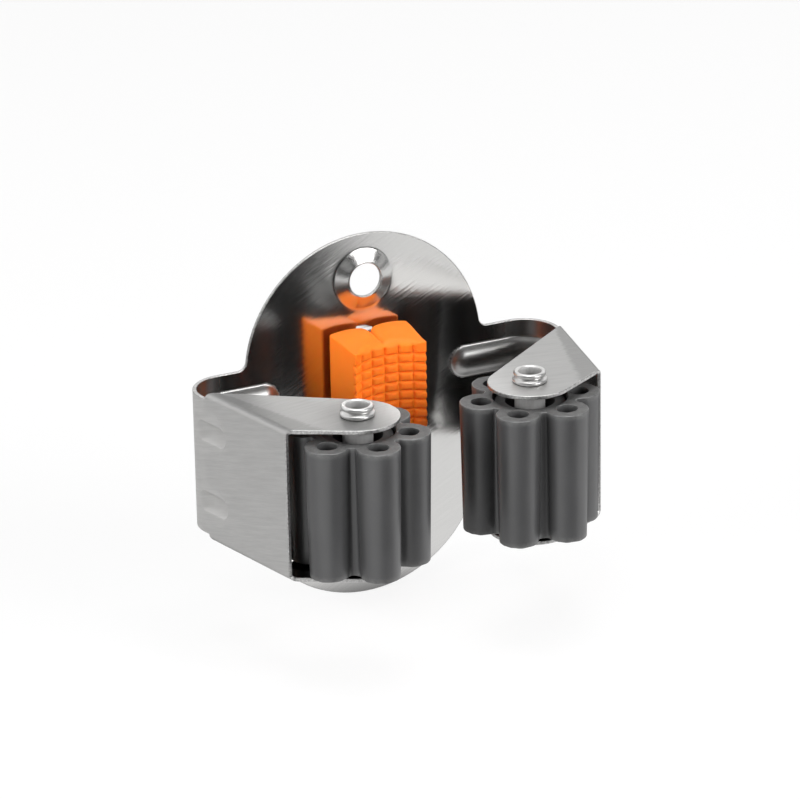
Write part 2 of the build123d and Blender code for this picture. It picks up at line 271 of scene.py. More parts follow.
def outward(loop):
    """Outward direction at each point of a closed loop that has the solid on its left."""
    side = np.roll(loop, -1, axis=0) - loop
    side /= np.linalg.norm(side, axis=1, keepdims=True)
    square = np.stack([side[:, 1], -side[:, 0]], axis=1)
    mean = square + np.roll(square, 1, axis=0)
    mean /= np.linalg.norm(mean, axis=1, keepdims=True)
    return mean / np.maximum(np.sum(mean * square, axis=1, keepdims=True), MITRE_LIMIT)


def soft_positive(value, softness):
    """Zero for negative values and the value itself for positive ones, blended near zero."""
    return (value + np.sqrt(value**2 + softness**2)) / 2


def smooth_step(value, low, high):
    """0 below low, 1 above high and an S-curve between."""
    share = np.clip((value - low) / (high - low), 0, 1)
    return share * share * (3 - 2 * share)


def from_loops(points, loops):
    """Distance of each point from the nearest point of the loops."""
    every = np.concatenate(loops)
    return np.array([np.sqrt(((every - p) ** 2).sum(axis=1).min()) for p in points])


def inside(points, loops):
    """Which points lie inside the first loop and outside the others."""
    crossings = np.zeros(len(points), dtype=int)
    for loop in loops:
        for (x0, y0), (x1, y1) in zip(loop, np.roll(loop, -1, axis=0)):
            spans = (points[:, 1] < y0) != (points[:, 1] < y1)
            if y0 != y1:
                reach = x0 + (points[:, 1] - y0) * (x1 - x0) / (y1 - y0)
                crossings += spans & (points[:, 0] < reach)
    return crossings % 2 == 1


def grid_of(across, up):
    """Points at every crossing of two lists of places."""
    return np.stack(np.meshgrid(across, up), axis=-1).reshape(-1, 2)


def triangulated(loops, inner):
    """Points, triangles and each loop's point numbers for a flat region with holes."""
    points = np.concatenate(loops + [inner]) if len(inner) else np.concatenate(loops)
    edges = []
    first = 0
    for loop in loops:
        edges += [(first + k, first + (k + 1) % len(loop)) for k in range(len(loop))]
        first += len(loop)
    made = delaunay_2d_cdt([Vector(p) for p in points], edges, [], 1, SAME_POINT)
    number = {}
    for index, sources in enumerate(made[3]):
        for source in sources:
            number[source] = index
    flat = np.array([tuple(p) for p in made[0]])
    triangles = np.array([tuple(t) for t in made[2]])
    triangles = triangles[inside(flat[triangles].mean(axis=1), loops)]
    a, b, c = (flat[triangles[:, k]] for k in range(3))
    turned = (b[:, 0] - a[:, 0]) * (c[:, 1] - a[:, 1]) - (b[:, 1] - a[:, 1]) * (c[:, 0] - a[:, 0]) < 0
    triangles[turned] = triangles[turned][:, ::-1]
    rings = []
    first = 0
    for loop in loops:
        rings.append(np.array([number[first + k] for k in range(len(loop))]))
        first += len(loop)
    return flat, triangles, rings


def strips(rows):
    """Quads between neighbouring closed rows of point numbers."""
    quads = []
    for upper, lower in zip(rows, rows[1:]):
        quads += np.stack([upper, lower, np.roll(lower, -1), np.roll(upper, -1)], axis=1).tolist()
    return quads


def new_piece(name, points, faces, body):
    """A mesh object from points in millimetres, riding on a body."""
    mesh = bpy.data.meshes.new(name)
    mesh.from_pydata((np.asarray(points) * MM).tolist(), [], faces)
    mesh.update()
    piece = bpy.data.objects.new(name, mesh)
    bpy.context.scene.collection.objects.link(piece)
    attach(piece, body)
    return piece


def exactly_shaded(piece, finish, normals):
    """Gives a piece its faces' finish numbers and its points' exact normals."""
    mesh = piece.data
    mesh.polygons.foreach_set("material_index", finish)
    mesh.polygons.foreach_set("use_smooth", [True] * len(mesh.polygons))
    mesh.normals_split_custom_set_from_vertices(normals.tolist())


# Bracket sheet: drawn flat, pressed and then folded

def fold(flat):
    """Place and inward direction of points of the flat sheet's outer face, once it is bent."""
    s, t = np.abs(flat[:, 0]), np.abs(flat[:, 1])
    turn = np.clip((s - BEND_X) / BEND_R, 0, SWEEP)
    run = np.maximum(s - ARM_S, 0)
    x = np.minimum(s, BEND_X) + BEND_R * np.sin(turn) + run * ALONG[0]
    y = -BEND_R * (1 - np.cos(turn)) + run * ALONG[1]
    on_arm = s > ARM_S + EAR_START / 2
    roll = np.where(on_arm, np.clip((t - EAR_T) / EAR_BEND_R, 0, math.pi / 2), 0)
    reach = np.where(on_arm, np.maximum(t - EAR_FLAT_T, 0), 0)
    inset = EAR_BEND_R * (1 - np.cos(roll)) + reach
    height = np.where(on_arm, np.minimum(t, EAR_T) + EAR_BEND_R * np.sin(roll), t)
    inward = np.stack([-np.sin(turn), -np.cos(turn)], axis=1)
    plan = np.stack([x, y], axis=1) + inward * inset[:, None]
    side, up = np.where(flat[:, 0] < 0, -1, 1), np.where(flat[:, 1] < 0, -1, 1)
    place = np.stack([plan[:, 0] * side, plan[:, 1], height * up], axis=1)
    normal = np.stack([
        inward[:, 0] * np.cos(roll) * side,
        inward[:, 1] * np.cos(roll),
        -np.sin(roll) * up,
    ], axis=1)
    return place, normal


def rib_start(flat):
    """Where the rib nearest to each flat point begins on the plate: the lower ribs are shorter."""
    return np.where(flat[:, 1] < 0, RIB_LOW_PLATE_X, RIB_PLATE_X)


def from_run(flat, start, end):
    """Distance of flat points from the four mirrored rib lines, between two places along the sheet."""
    s, t = np.abs(flat[:, 0]), np.abs(flat[:, 1])
    return np.hypot(s - np.clip(s, start, end), t - RIB_Z)


def arch(distance, radius, depth):
    """Height of a round ridge above the sheet, with its flanks carried on below the sheet."""
    root = math.sqrt(radius**2 - depth**2)
    hump = np.sqrt(np.maximum(radius**2 - np.minimum(distance, root) ** 2, 0)) - depth
    return hump - np.maximum(distance - root, 0) * root / depth


def collar(flat, narrower):
    """Height of the raised collars round the screw holes."""
    r = np.hypot(flat[:, 0], np.abs(flat[:, 1]) - SCREW_Z)
    slope = BOSS_HEIGHT / (BOSS_BASE_R - BOSS_RIM_R)
    foot = soft_positive(BOSS_BASE_R - narrower - r, BOSS_SOFT)
    head = soft_positive(BOSS_RIM_R - narrower - r, BOSS_SOFT)
    return slope * (foot - head)


def front_height(flat):
    """Distance of the sheet's inner face from its outer reference face."""
    ridge = arch(from_run(flat, rib_start(flat), ARM_S + RIB_ARM_RUN), RIB_R, RIB_SET_BACK + SHEET)
    return SHEET + soft_positive(ridge, RIB_SOFT) + collar(flat, 0)


def back_height(flat):
    """Depth of the hollows in the sheet's outer face."""
    hollow = soft_positive(arch(from_run(flat, rib_start(flat), BEND_X), HOLLOW_R, RIB_SET_BACK), RIB_SOFT)
    dent = arch(from_run(flat, ARM_S + DENT_START, ARM_S + DENT_END), DENT_R, DENT_SET_BACK)
    fade = smooth_step(np.abs(flat[:, 0]) - ARM_S, *DENT_FADE)
    r = np.hypot(flat[:, 0], np.abs(flat[:, 1]) - PEG_Z)
    recess = np.where(r < PEG_RECESS_R - PEG_RECESS_WALL / 2, PEG_RECESS_D, 0)
    return hollow + soft_positive(dent, DENT_SOFT) * fade + collar(flat, SHEET / 2) + recess


def pressed(flat, height):
    """Points of one face of the folded sheet and their inward normals."""
    step = NORMAL_STEP

    def at(shift):
        place, inward = fold(flat + shift)
        return place + inward * height(flat + shift)[:, None]

    along = at((step, 0)) - at((-step, 0))
    across = at((0, step)) - at((0, -step))
    place, inward = fold(flat)
    normal = np.cross(along, across)
    normal *= np.sign(np.sum(normal * inward, axis=1, keepdims=True))
    normal /= np.linalg.norm(normal, axis=1, keepdims=True)
    return place + inward * height(flat)[:, None], normal


def ear_point(plan):
    """Flat sheet place of points of the right upper ear, given in plan."""
    a = (plan - ARM_START) @ ALONG
    b = np.maximum((plan - ARM_START) @ INWARD, 0)
    rolled = EAR_T + EAR_BEND_R * np.arccos(np.clip(1 - b / EAR_BEND_R, 0, 1))
    t = np.where(b < EAR_BEND_R, rolled, EAR_FLAT_T - EAR_BEND_R + b)
    return np.stack([ARM_S + a, t], axis=1)


def tangent_angle(point, centre, radius, turn):
    """Angle at which a line from a point touches a circle, on the side given by turn."""
    to_point = point - centre
    spread = math.acos(radius / np.linalg.norm(to_point))
    return math.atan2(to_point[1], to_point[0]) + turn * spread


def sheet_outline():
    """Outline of the flat sheet, anticlockwise."""
    fillet_t = WING_Z + LOBE_FILLET
    fillet_s = math.sqrt((LOBE_R + LOBE_FILLET) ** 2 - (fillet_t - LOBE_Z) ** 2)
    tilt = math.asin((fillet_t - LOBE_Z) / (LOBE_R + LOBE_FILLET))
    lobe = arc((0, LOBE_Z), LOBE_R, math.pi / 2, tilt, 90)
    shoulder = arc((fillet_s, fillet_t), LOBE_FILLET, math.pi + tilt, 1.5 * math.pi, 14)
    wing_end = [[ARM_S + EAR_START, WING_Z]]
    back = ARM_START + ALONG * EAR_START
    front = ARM_START + ALONG * ARM_LENGTH
    first = tangent_angle(back, PIN, EAR_TIP_R, 1)
    last = tangent_angle(front, PIN, EAR_TIP_R, -1) + 2 * math.pi
    tip = arc(PIN, EAR_TIP_R, first, last, 70)
    share = np.linspace(0, 1, 40)[:, None] ** 2
    ear = np.concatenate([back + (tip[0] - back) * share, tip, front + (tip[-1] - front) * share[::-1]])
    quarter = np.concatenate([lobe, shoulder, wing_end, ear_point(ear), [[TIP_S, 0]]])
    half = np.concatenate([quarter, quarter[::-1] * (1, -1)])
    whole = joined(half, half[::-1] * (-1, 1))
    return densified(whole[::-1], SHEET_SPACING)


def around(middle, half, spacing):
    """Evenly spaced places on both sides of a middle one."""
    return np.arange(middle - half, middle + half, spacing)


def sheet_inner_points(loops):
    """Points inside the flat sheet, close together where it is pressed or bent."""
    before, after = (ARM_S + run for run in DENT_MESH_RUN)
    bend_along, bend_across = BEND_MESH
    ear_along, ear_across = EAR_BEND_MESH
    runs = [
        (np.arange(0, PLAIN_REACH[0], PLAIN_MESH), np.arange(0, PLAIN_REACH[1], PLAIN_MESH)),
        (np.arange(RIB_MESH_START, before, RIB_MESH), around(RIB_Z, RIB_MESH_HALF, RIB_MESH)),
        (np.arange(before, after, DENT_MESH), around(RIB_Z, DENT_MESH_HALF, DENT_MESH)),
        (np.arange(BEND_X, ARM_S + 0.3, bend_along), np.arange(0, WING_Z, bend_across)),
        (np.arange(ARM_S + 1, TIP_S, ear_along), np.arange(EAR_T, EAR_FLAT_T + 0.1, ear_across)),
        (np.arange(ARM_S, TIP_S, EAR_MESH), np.arange(EAR_FLAT_T, EAR_MESH_END, EAR_MESH)),
    ]
    first, last = COLLAR_MESH_RUN
    collar_radii = np.arange(SCREW_HOLE_R + first, BOSS_BASE_R + last, COLLAR_MESH)
    collars = [ring_of((0, SCREW_Z), r, SCREW_SIDES) for r in collar_radii]
    well_radii = (PEG_RECESS_R, PEG_RECESS_R - PEG_RECESS_WALL)
    wells = [ring_of((0, PEG_Z), r, PEG_RECESS_SIDES) for r in well_radii]
    quarter = np.concatenate([grid_of(s, t) for s, t in runs] + collars + wells)
    every = np.concatenate([quarter * (i, k) for i in (1, -1) for k in (1, -1)])
    every = np.unique(np.round(every, 4), axis=0)
    every = every[inside(every, loops)]
    return every[from_loops(every, loops) > SHEET_CLEAR]


def edge_profile(rounds):
    """Steps of the sheet's edge from the inner face to the outer: turn, and whether at the inner face."""
    turns = np.linspace(0, math.pi / 2, rounds + 1)
    return [(turn, True) for turn in turns[1:]] + [(turn, False) for turn in turns[::-1][:-1]]


def grain_map(mesh, flat):
    """Map of the sheet's grain: u runs along it, v across, in metres."""
    layer = mesh.uv_layers.new(name="grain")
    angles = np.zeros(len(mesh.loops))
    corner = np.zeros(len(mesh.loops), dtype=np.int32)
    mesh.loops.foreach_get("vertex_index", corner)
    for face in mesh.polygons:
        s, t = flat[list(face.vertices)].mean(axis=0)
        if abs(s) < BEND_X + BEND_R:
            angle = PLATE_GRAIN
        elif abs(t) < EAR_FLAT_T:
            angle = math.copysign(ARM_GRAIN, s)
        else:
            angle = math.pi / 2
        angles[face.loop_start:face.loop_start + face.loop_total] = angle
    s, t = flat[corner].T * MM
    u = s * np.cos(angles) + t * np.sin(angles)
    v = t * np.cos(angles) - s * np.sin(angles)
    layer.data.foreach_set("uv", np.stack([u, v], axis=1).ravel())


def point_map(mesh, name, values):
    """Stores one number for each point of a mesh under a name that materials can read."""
    layer = mesh.attributes.new(name, "FLOAT", "POINT")
    layer.data.foreach_set("value", values)


def worked_map(mesh, flat):
    """Maps of where the sheet is duller from pressing and bending, of where its mirror face gets painted
    shade, of how the ears were ground, and of painted shade on the ears, darker towards the bend and deeper
    on the left ear.
    """
    s, t = np.abs(flat[:, 0]), np.abs(flat[:, 1])
    rib = 1 - smooth_step(from_run(flat, rib_start(flat), ARM_S + RIB_ARM_RUN), *RIB_FADE)
    bend = smooth_step(s, BEND_X - BEND_FADE, BEND_X) * (1 - smooth_step(s, ARM_S, ARM_S + BEND_FADE))
    boss = 1 - smooth_step(np.hypot(s, t - SCREW_Z), BOSS_BASE_R, BOSS_BASE_R + BOSS_FADE)
    worked = np.maximum(BEND_DULL * bend, BOSS_DULL * boss)
    point_map(mesh, "worked", np.where(rib > 0.5, RIB_DULL, worked))
    # The pressed map also sets where the mirror face gets painted shade: a darker colour in the ribs and
    # bends.
    point_map(mesh, "pressed", np.maximum(rib, bend))
    on_ear = (s > ARM_S) * smooth_step(t, EAR_T, EAR_FLAT_T)
    reach = GROUND_START + GROUND_SPREAD * np.maximum(s - ARM_S, 0)
    first, last = (share * reach for share in GROUND_FADE)
    point_map(mesh, "ground", on_ear * (1 - smooth_step(t - EAR_FLAT_T, first, last)))
    # Painted shade on the ears: darker towards the bend, deeper on the left ear than on the right.
    uneven = np.where(flat[:, 0] > 0, RIGHT_EAR_PAINTED_SHADE, 1)
    point_map(mesh, "ear", on_ear * uneven * (1 - smooth_step(t - EAR_FLAT_T, *EAR_FADE)))


def edge_rows(ring, way):
    """Points, normals and flat places of each row that rounds off the sheet's edge along one loop."""
    rows = []
    for turn, at_front in edge_profile(EDGE_STEPS):
        edge = ring + way * SHEET_EDGE_R * math.sin(turn)
        place, inward = fold(edge)
        drop = SHEET_EDGE_R * (1 - math.cos(turn))
        level = front_height(ring) - drop if at_front else back_height(ring) + drop
        further = fold(edge + way * NORMAL_STEP)[0] - place
        further /= np.linalg.norm(further, axis=1, keepdims=True)
        facing = inward if at_front else -inward
        normal = further * math.sin(turn) + facing * math.cos(turn)
        rows.append((place + inward * level[:, None], normal, edge))
    return rows


def bracket_sheet():
    """The bent sheet with pressed ribs and collars and eased edges."""
    pin = ear_point(PIN[None])[0]
    holes = [hole((0, z), SCREW_HOLE_R, SCREW_SIDES) for z in (SCREW_Z, -SCREW_Z)]
    holes += [hole((0, z), PEG_HOLE_R, PEG_SIDES) for z in (PEG_Z, -PEG_Z)]
    holes += [hole(pin * (i, k), PIN_HOLE_R, PIN_SIDES) for i in (1, -1) for k in (1, -1)]
    loops = [sheet_outline()] + holes
    ways = [outward(loop) for loop in loops]
    inset = [loop - way * SHEET_EDGE_R for loop, way in zip(loops, ways)]
    flat, triangles, rings = triangulated(inset, sheet_inner_points(inset))

    front, front_normal = pressed(flat, front_height)
    back, back_normal = pressed(flat, back_height)
    count = len(flat)
    points = [front, back]
    normals = [front_normal, -back_normal]
    flats = [flat, flat]
    faces = triangles.tolist() + (triangles[:, ::-1] + count).tolist()
    finish = [0] * len(triangles) + [1] * len(triangles)
    first = 2 * count
    for ring, way in zip(rings, ways):
        rows = [ring]
        for place, normal, edge in edge_rows(flat[ring], way):
            points.append(place)
            normals.append(normal)
            flats.append(edge)
            rows.append(np.arange(first, first + len(ring)))
            first += len(ring)
        rows.append(ring + count)
        quads = strips(rows)
        faces += quads
        finish += [2] * len(quads)
    piece = new_piece("bracket_sheet", np.concatenate(points), faces, "bracket")
    exactly_shaded(piece, finish, np.concatenate(normals))
    grain_map(piece.data, np.concatenate(flats))
    worked_map(piece.data, np.concatenate(flats))
    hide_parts("bracket")
    return piece


# Rubber pieces, made as prisms along Z with rounded rims

def rounded_rows(top, bottom, radius, steps, levels=(), draft=0.0):
    """Rows of a prism's side from the top rim to the bottom rim: height, inset and turn of the normal."""
    turns = np.linspace(0, math.pi / 2, steps + 1)
    rows = [(top - radius * (1 - math.cos(a)), radius * (1 - math.sin(a)), a) for a in turns]
    rows += [(height, 0 * radius, math.pi / 2) for height in levels]
    rows += [
        (bottom + radius * (1 - math.cos(a)), radius * (1 - math.sin(a)), math.pi - a)
        for a in turns[::-1]
    ]
    return [(height, inset + (top - height) * math.tan(draft), turn) for height, inset, turn in rows]


def prism(loops, inner, rows_of):
    """Points, normals, faces and finish numbers (0 side, 1 end) of a prism with holes."""
    ways = [outward(loop) for loop in loops]
    rows = [rows_of(loop) for loop in loops]
    rims = [loop - way * np.reshape(row[0][1], (-1, 1)) for loop, way, row in zip(loops, ways, rows)]
    flat, triangles, rings = triangulated(rims, inner)
    count = len(flat)
    foot = flat.copy()
    for loop, way, row, ring in zip(loops, ways, rows, rings):
        foot[ring] = loop - way * np.reshape(row[-1][1], (-1, 1))
    up = np.tile((0.0, 0.0, 1.0), (count, 1))
    heights = [float(np.max(rows[0][0][0])), float(np.min(rows[0][-1][0]))]
    points = [np.column_stack([plan, np.full(count, height)]) for plan, height in zip((flat, foot), heights)]
    normals = [up, -up]
    faces = triangles.tolist() + (triangles[:, ::-1] + count).tolist()
    finish = [1] * len(faces)
    first = 2 * count
    for loop, way, row, ring in zip(loops, ways, rows, rings):
        numbers = [ring]
        for height, inset, turn in row[1:-1]:
            place = loop - way * np.reshape(inset, (-1, 1))
            points.append(np.column_stack([place, np.broadcast_to(height, len(loop))]))
            normals.append(np.column_stack([way * math.sin(turn), np.full(len(loop), math.cos(turn))]))
            numbers.append(np.arange(first, first + len(loop)))
            first += len(loop)
        numbers.append(ring + count)
        quads = strips(numbers)
        faces += quads
        finish += [0] * len(quads)
    return np.concatenate(points), np.concatenate(normals), faces, finish


def roller_outline(centre, phase):
    """Star of round lobes on a hub, with filleted roots, anticlockwise."""
    sector = 2 * math.pi / LOBES
    reach = HUB_R + LOBE_ROOT_FILLET
    span = LOBE_TUBE_R + LOBE_ROOT_FILLET
    spread = math.acos((reach**2 + LOBE_PITCH_R**2 - span**2) / (2 * reach * LOBE_PITCH_R))
    near = reach * np.array([math.cos(spread), math.sin(spread)])
    far = reach * np.array([math.cos(sector - spread), math.sin(sector - spread)])
    meet = math.atan2(near[1], near[0] - LOBE_PITCH_R)
    period = np.concatenate([
        arc((LOBE_PITCH_R, 0), LOBE_TUBE_R, -meet, meet, 48),
        arc(near, LOBE_ROOT_FILLET, meet - math.pi, spread - math.pi, 8),
        arc((0, 0), HUB_R, spread, sector - spread, 6),
        arc(far, LOBE_ROOT_FILLET, sector + math.pi - spread, sector + math.pi - meet, 8),
    ])
    return joined(*[period @ spin(phase + sector * k) for k in range(LOBES)]) + centre


def spin(angle):
    """Matrix that turns rows of plane points anticlockwise."""
    return np.array([[math.cos(angle), math.sin(angle)], [-math.sin(angle), math.cos(angle)]])


def roller(side):
    """One moulded rubber star with hollow lobes and trimmed ends."""
    centre = PIN * (SIDES[side], 1)
    phase = ROLLER_PHASE[side]
    loops = [roller_outline(centre, phase), hole(centre, HUB_BORE_R, HUB_SIDES)]
    for k in range(LOBES):
        angle = phase + 2 * math.pi * k / LOBES
        bore = centre + LOBE_PITCH_R * np.array([math.cos(angle), math.sin(angle)])
        loops.append(hole(bore, LOBE_BORE_R, LOBE_SIDES))
    top = ROLLER_BOTTOM + ROLLER_H
    middle = ROLLER_BOTTOM + ROLLER_H / 2
    levels = [top - d for d in ROLLER_WEAR[::-1]] + [ROLLER_BOTTOM + d for d in ROLLER_WEAR]

    def rows_of(loop):
        if loop is loops[0]:
            return rounded_rows(top, ROLLER_BOTTOM, ROLLER_EDGE_R, ROLLER_RIM_STEPS, levels, ROLLER_DRAFT)
        return rounded_rows(top, ROLLER_BOTTOM, BORE_EDGE_R, ROLLER_RIM_STEPS, levels)

    points, normals, faces, finish = prism(loops, [], rows_of)
    above = points[:, 2] - middle
    end = smooth_step(np.abs(above), ROLLER_H / 2 - ROLLER_EDGE_R, ROLLER_H / 2 - CUT_FLAT)
    points[:, 2] -= np.sign(above) * end * uneven_cut(points[:, :2])
    piece = new_piece(f"{side}_roller_rubber", points, faces, f"{side}_roller")
    exactly_shaded(piece, finish, normals)
    inner, outer = (ROLLER_H / 2 - d for d in ROLLER_WEAR)
    point_map(piece.data, "rim", smooth_step(np.abs(points[:, 2] - middle), inner, outer))
    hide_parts(f"{side}_roller")
    return piece


def uneven_cut(plan):
    """Depth of the shallow waves that the knife left in a trimmed end."""
    x, y = plan.T
    waves = [(1 + np.sin(a * x + b * y + start)) / 2 for a, b, start in CUT_WAVES]
    return CUT_WAVE * np.mean(waves, axis=0)


# Axles, turned from a section

def axle_section():
    """Section of an axle, up its bore, over the rim and down outside, then mirrored: radius and height."""
    rim = arc(RIM_CENTRE, RIM_RADIUS, math.pi, RIM_END, 20)
    bead = arc(BEAD_CENTRE, BEAD_RADIUS, BEAD_SPAN, -BEAD_SPAN, 14)
    foot = [[PIN_R, EAR_Z - BEAD_FOOT], [PIN_R, EAR_Z - SHEET]]
    upper = np.concatenate([[[PIN_BORE_R, EAR_Z]], rim, bead, foot])
    return np.concatenate([upper, upper[::-1] * (1, -1)])


def axle(side):
    """Steel tube with an upset bead and a rolled rim at each end."""
    section = axle_section()
    x, y = PIN * (SIDES[side], 1)
    count = len(section)
    turns = np.arange(AXLE_SIDES) * 2 * math.pi / AXLE_SIDES
    points = [(x + r * math.cos(a), y + r * math.sin(a), z) for a in turns for r, z in section]
    faces = []
    finish = []
    for turn in range(AXLE_SIDES):
        here = turn * count
        there = (turn + 1) % AXLE_SIDES * count
        for k in range(count):
            after = (k + 1) % count
            faces.append((here + k, here + after, there + after, there + k))
            outside = max(section[k][0], section[after][0]) > HEAD_BORE_R
            on_head = min(abs(section[k][1]), abs(section[after][1])) > EAR_Z - HEAD_MARGIN
            # The bores and the middle of the tube take the second finish: duller steel whose darker colour
            # is painted shade.
            finish.append(0 if on_head and outside else 1)
    piece = new_piece(f"{side}_axle_tube", points, faces, "bracket")
    piece.data.polygons.foreach_set("material_index", finish)
    piece.data.shade_smooth()
    piece.data.set_sharp_from_angle(angle=SHARP_ANGLE)
    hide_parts(f"{side}_axle")
    return piece


# Grip pad

def through(start, middle, end, count):
    """Points of the arc through three points."""
    (ax, ay), (bx, by), (cx, cy) = start, middle, end
    twice = 2 * (ax * (by - cy) + bx * (cy - ay) + cx * (ay - by))
    a2, b2, c2 = ax**2 + ay**2, bx**2 + by**2, cx**2 + cy**2
    x = (a2 * (by - cy) + b2 * (cy - ay) + c2 * (ay - by)) / twice
    y = (a2 * (cx - bx) + b2 * (ax - cx) + c2 * (bx - ax)) / twice
    angles = np.unwrap([math.atan2(py - y, px - x) for px, py in (start, middle, end)])
    return arc((x, y), math.hypot(ax - x, ay - y), angles[0], angles[2], count)


def eased(loop, passes):
    """The closed loop with its corners rounded off by averaging neighbours."""
    for _ in range(passes):
        loop = (np.roll(loop, 1, axis=0) + 2 * loop + np.roll(loop, -1, axis=0)) / 4
    return loop


def pad_outline():
    """Pad seen from above, anticlockwise from the cleft at the back."""
    flip = (-1, 1)
    shoulder = through((0, PAD_CLEFT_Y), PAD_SHOULDER_MID, PAD_SHOULDER, 24)
    lobe = np.concatenate([shoulder, [PAD_BACK]])
    seat = through(np.multiply(PAD_FRONT, flip), (0, PAD_SEAT_Y), PAD_FRONT, KNOB_COLUMNS * KNOB_STEPS + 1)
    whole = joined(lobe * flip, seat, lobe[::-1])
    return eased(densified(whole, PAD_SPACING), PAD_EASING)


def knob_height(share, z):
    """Height, from 0 in the grooves to 1 on the knobs, over the pad's front."""
    row = np.mod(z / KNOB_PITCH + KNOB_ROWS / 2, 1) * 2 - 1
    last_groove = (KNOB_ROWS / 2 - 1) * KNOB_PITCH
    row = np.where(np.abs(z) < last_groove + KNOB_PITCH / 2, row, 0)
    column = np.mod((share + 1) / 2 * KNOB_COLUMNS, 1) * 2 - 1
    column = np.where(np.abs(share) * KNOB_COLUMNS < KNOB_COLUMNS - 1, column, 0)
    across = np.sqrt(np.maximum(1 - np.abs(column / KNOB_FILL) ** KNOB_POWER, 0))
    upright = np.sqrt(np.maximum(1 - np.abs(row / KNOB_FILL) ** KNOB_POWER, 0))
    below, above = KNOB_TOP_FADE
    fade = smooth_step(np.abs(z), PAD_TOP - PAD_FRONT_EDGE_R - below, PAD_TOP - above)
    return (across + (1 - across) * fade) * upright


def crowned(plan):
    """How far the pad's soft top stands above its flat height: up on each half's back, down at the front."""
    middle = PAD_BACK[0] / 2
    half = 1 - ((np.abs(plan[:, 0]) - middle) / middle) ** 2
    front = smooth_step(-plan[:, 1], -PAD_BACK[1], -PAD_FRONT[1])
    return CROWN_RISE * half * (1 - front) - CROWN_DROOP * front


def pad_inner_points(rim):
    """Points inside the pad's flat ends, closer together along the crease."""
    plain = grid_of(np.arange(*PAD_MESH_X, PAD_MESH), np.arange(*PAD_MESH_Y, PAD_MESH))
    plain = plain[np.abs(plain[:, 0]) > CREASE_HALF + CREASE_CLEAR]
    across, along = CREASE_MESH
    columns = np.arange(-CREASE_HALF, CREASE_HALF + across / 2, across)
    near_crease = grid_of(columns, np.arange(*CREASE_MESH_Y, along))
    every = np.concatenate([plain, near_crease])
    every = every[inside(every, [rim])]
    return every[from_loops(every, [rim]) > PAD_CLEAR]


def pad():
    """Rubber block with a knobbly hollow front and a creased top, slotted for its carrier."""
    depth = PAD_SEAT_Y - PAD_FRONT[1]
    seat_r = (PAD_FRONT[0] ** 2 + depth**2) / (2 * depth)
    seat_y = PAD_SEAT_Y - seat_r
    half_angle = math.asin(PAD_FRONT[0] / seat_r)
    outline = pad_outline()
    half_rows = math.floor((PAD_TOP - PAD_FRONT_EDGE_R) / KNOB_PITCH * KNOB_STEPS)
    levels = np.arange(half_rows, -half_rows - 1, -1) * KNOB_PITCH / KNOB_STEPS

    def seat_share(plan):
        return np.arctan2(plan[:, 0], plan[:, 1] - seat_y) / half_angle

    def off_seat(plan):
        return np.abs(np.hypot(plan[:, 0], plan[:, 1] - seat_y) - seat_r)

    def rows_of(loop):
        run = (1 - np.abs(seat_share(loop))) * half_angle * seat_r
        corner = 1 - smooth_step(run, *PAD_CORNER_RUN)
        front = smooth_step(run, *PAD_FRONT_RUN) * (1 - smooth_step(off_seat(loop), *PAD_FRONT_OFF))
        radius = PAD_EDGE_R * (1 - PAD_CORNER_THIN * corner) + (PAD_FRONT_EDGE_R - PAD_EDGE_R) * front
        return rounded_rows(PAD_TOP, -PAD_TOP, radius, PAD_RIM_STEPS, levels)

    rim = outline - outward(outline) * rows_of(outline)[0][1][:, None]
    points, normals, faces, _ = prism([outline], pad_inner_points(rim), rows_of)

    plan, z = points[:, :2], points[:, 2]
    sideways = normals[:, :2]
    on_front = (plan[:, 1] < PAD_SEAT_Y + PAD_FRONT_EDGE_R) * (1 - smooth_step(off_seat(plan), *KNOB_OFF))
    leaning = np.linalg.norm(sideways, axis=1)
    groove = KNOB_DEPTH * (1 - knob_height(seat_share(plan), z)) * on_front
    points[:, :2] -= sideways * (groove * np.minimum(leaning, 1))[:, None]
    crease = CREASE_DEPTH * np.exp(-np.abs(plan[:, 0]) / CREASE_REACH)
    crease *= 1 - smooth_step(-plan[:, 1], CREASE_END - CREASE_RUN_OUT, CREASE_END)
    crease *= smooth_step(np.abs(z), PAD_TOP - CREASE_FROM_TOP, PAD_TOP)
    crown = crowned(plan) * smooth_step(np.abs(z), CROWN_START, PAD_TOP)
    points[:, 2] += np.sign(z) * (crown - crease)

    piece = new_piece("grip_pad_rubber", points, faces, "bracket")
    slotted(piece)
    piece.data.shade_smooth()
    piece.data.set_sharp_from_angle(angle=SHARP_ANGLE)
    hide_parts("grip_pad")
    return piece


def slotted(piece):
    """Cuts the carrier's slot, open at the bottom and towards the cleft, into the pad."""
    boxes = [
        ((-SLOT_HALF, SLOT_FRONT_Y, -2 * PAD_TOP), (SLOT_HALF, SLOT_BACK_Y, SLOT_TOP)),
        ((-SLOT_NECK_HALF, SLOT_BACK_Y - SLOT_LAP, -2 * PAD_TOP), (SLOT_NECK_HALF, 0, SLOT_TOP)),
    ]
    for low, high in boxes:
        low, high = Vector(low) * MM, Vector(high) * MM
        bpy.ops.mesh.primitive_cube_add(size=1, location=(low + high) / 2, scale=high - low)
        cutter = bpy.context.active_object
        cut = piece.modifiers.new("slot", "BOOLEAN")
        cut.object = cutter
        cut.operation = "DIFFERENCE"
        cut.solver = "EXACT"
        evaluated = piece.evaluated_get(bpy.context.evaluated_depsgraph_get())
        mesh = bpy.data.meshes.new_from_object(evaluated)
        piece.modifiers.clear()
        piece.data = mesh
        bpy.data.objects.remove(cutter)


# Materials; sizes in metres

